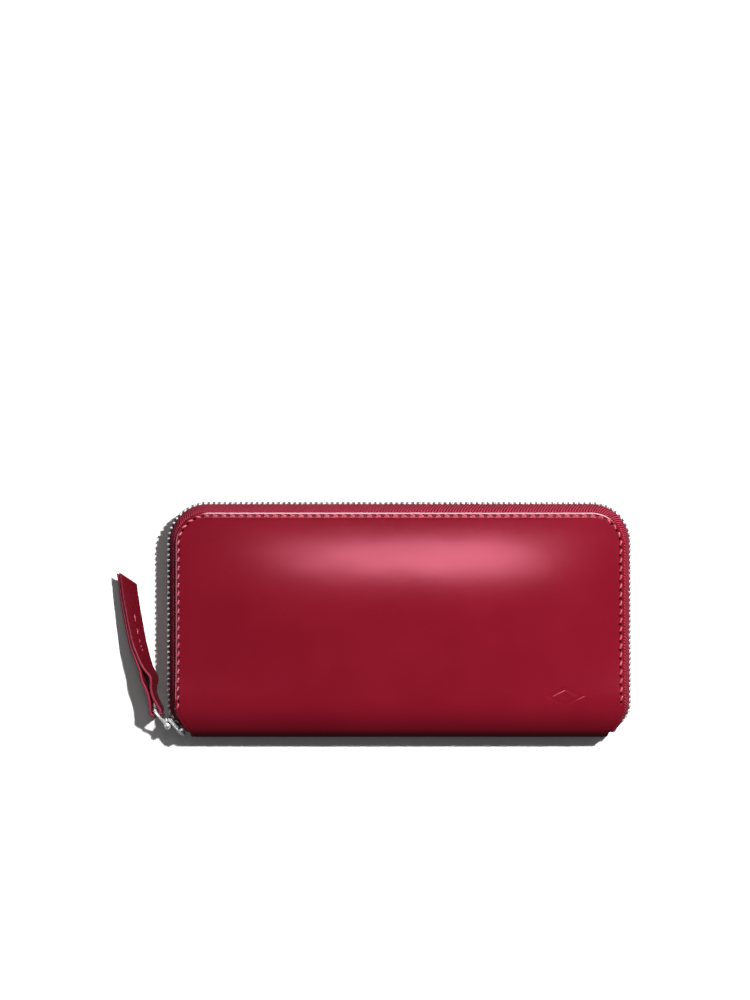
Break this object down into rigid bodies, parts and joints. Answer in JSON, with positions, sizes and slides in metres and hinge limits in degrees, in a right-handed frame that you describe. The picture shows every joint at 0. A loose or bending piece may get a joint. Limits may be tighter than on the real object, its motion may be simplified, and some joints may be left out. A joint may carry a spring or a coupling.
{
  "type": "long wallet",
  "caption": "Long zip-around wallet in smooth glossy red leather, with tone-on-tone edge stitching, a metal zip and a folded leather pull strap.",
  "frame": {"origin": "centre of the flat outer face of the rear cover, on which the wallet lies", "axes": "+X along the length, away from the slider; +Y from the rolled spine to the zipped long edge; +Z through the thickness, from the rear cover to the front cover"},
  "size_m": [0.2194, 0.0998, 0.0239],
  "materials": {
    "smooth_leather": "smooth glossy leather",
    "lining_cloth": "fine woven lining",
    "zip_tape_cloth": "twill tape",
    "sewing_thread": "twisted polyester thread",
    "plated_metal": "polished nickel plate",
    "stiffener_board": "pressed fibre board"
  },
  "bodies": {
    "rear_half": {"rear_card_base": "lining_cloth", "rear_card_pocket_1": "smooth_leather", "rear_card_pocket_2": "smooth_leather", "rear_card_pocket_3": "smooth_leather", "rear_board": "stiffener_board", "rear_lining": "lining_cloth", "rear_cover": "smooth_leather", "rear_zip_tape": "zip_tape_cloth", "rear_teeth": "plated_metal", "rear_gusset_left": "lining_cloth", "rear_gusset_right": "lining_cloth", "rear_seam_thread": "sewing_thread", "zip_bottom_stop": "plated_metal", "zip_end_tab": "smooth_leather"},
    "front_half": {"front_card_base": "lining_cloth", "front_card_pocket_1": "smooth_leather", "front_card_pocket_2": "smooth_leather", "front_card_pocket_3": "smooth_leather", "front_board": "stiffener_board", "front_lining": "lining_cloth", "front_cover": "smooth_leather", "front_zip_tape": "zip_tape_cloth", "front_teeth": "plated_metal", "front_gusset_left": "lining_cloth", "front_gusset_right": "lining_cloth", "front_seam_thread": "sewing_thread"},
    "coin_pouch": {"coin_wall_rear": "lining_cloth", "coin_wall_front": "lining_cloth", "coin_binding": "lining_cloth", "coin_zip_tape_rear": "zip_tape_cloth", "coin_zip_tape_front": "zip_tape_cloth", "coin_teeth_rear": "plated_metal", "coin_teeth_front": "plated_metal"},
    "coin_runner": {"coin_slider": "plated_metal"},
    "coin_tab": {"coin_pull": "plated_metal"},
    "pin_carriage": {"slider_pin": "plated_metal"},
    "runner": {"zip_slider": "plated_metal"},
    "link": {"pull_link": "plated_metal"},
    "strap": {"pull_strap": "smooth_leather", "strap_thread": "sewing_thread"}
  },
  "joints": [
    {"name": "cover_open", "type": "hinge", "parent": "rear_half", "child": "front_half", "pos_m": [0, -0.05, 0.0115], "axis": [1, 0, 0], "range_deg": [0, 70], "deforming": ["front_zip_tape", "front_teeth", "rear_gusset_left", "rear_gusset_right", "front_gusset_left", "front_gusset_right"]},
    {"name": "coin_pouch_swing", "type": "hinge", "parent": "rear_half", "child": "coin_pouch", "pos_m": [0, -0.05, 0.0115], "axis": [1, 0, 0], "range_deg": [0, 36]},
    {"name": "coin_zip_travel", "type": "slide", "parent": "coin_pouch", "child": "coin_runner", "axis": [1, 0, 0], "range_m": [0, 0.148], "deforming": ["coin_zip_tape_rear", "coin_zip_tape_front", "coin_teeth_rear", "coin_teeth_front"]},
    {"name": "coin_tab_swing", "type": "hinge", "parent": "coin_runner", "child": "coin_tab", "pos_m": [-0.0792, 0.03685, 0.0103], "axis": [0, 0, 1], "range_deg": [0, 170]},
    {"name": "slider_travel", "type": "slide", "parent": "rear_half", "child": "pin_carriage", "axis": [-0.0593, 0.9982, 0], "range_m": [0, 0.06281], "deforming": ["rear_zip_tape", "rear_teeth"]},
    {"name": "slider_turn", "type": "hinge", "parent": "pin_carriage", "child": "runner", "pos_m": [-0.09798, -0.0452, 0.0115], "axis": [0, 0, 1], "range_deg": [-42.5, 0]},
    {"name": "link_swing", "type": "hinge", "parent": "pin_carriage", "child": "link", "pos_m": [-0.09798, -0.0452, 0.0115], "axis": [0, 0, 1], "range_deg": [0, 90]},
    {"name": "strap_swing", "type": "hinge", "parent": "link", "child": "strap", "pos_m": [-0.10315, -0.03858, 0.0115], "axis": [0, 0, 1], "range_deg": [0, 60]}
  ],
  "couplings": [
    {"joint": "coin_pouch_swing", "follows": "cover_open", "ratio": 0.5},
    {"joint": "slider_turn", "follows": "slider_travel", "rad_per_m": -11.67}
  ]
}
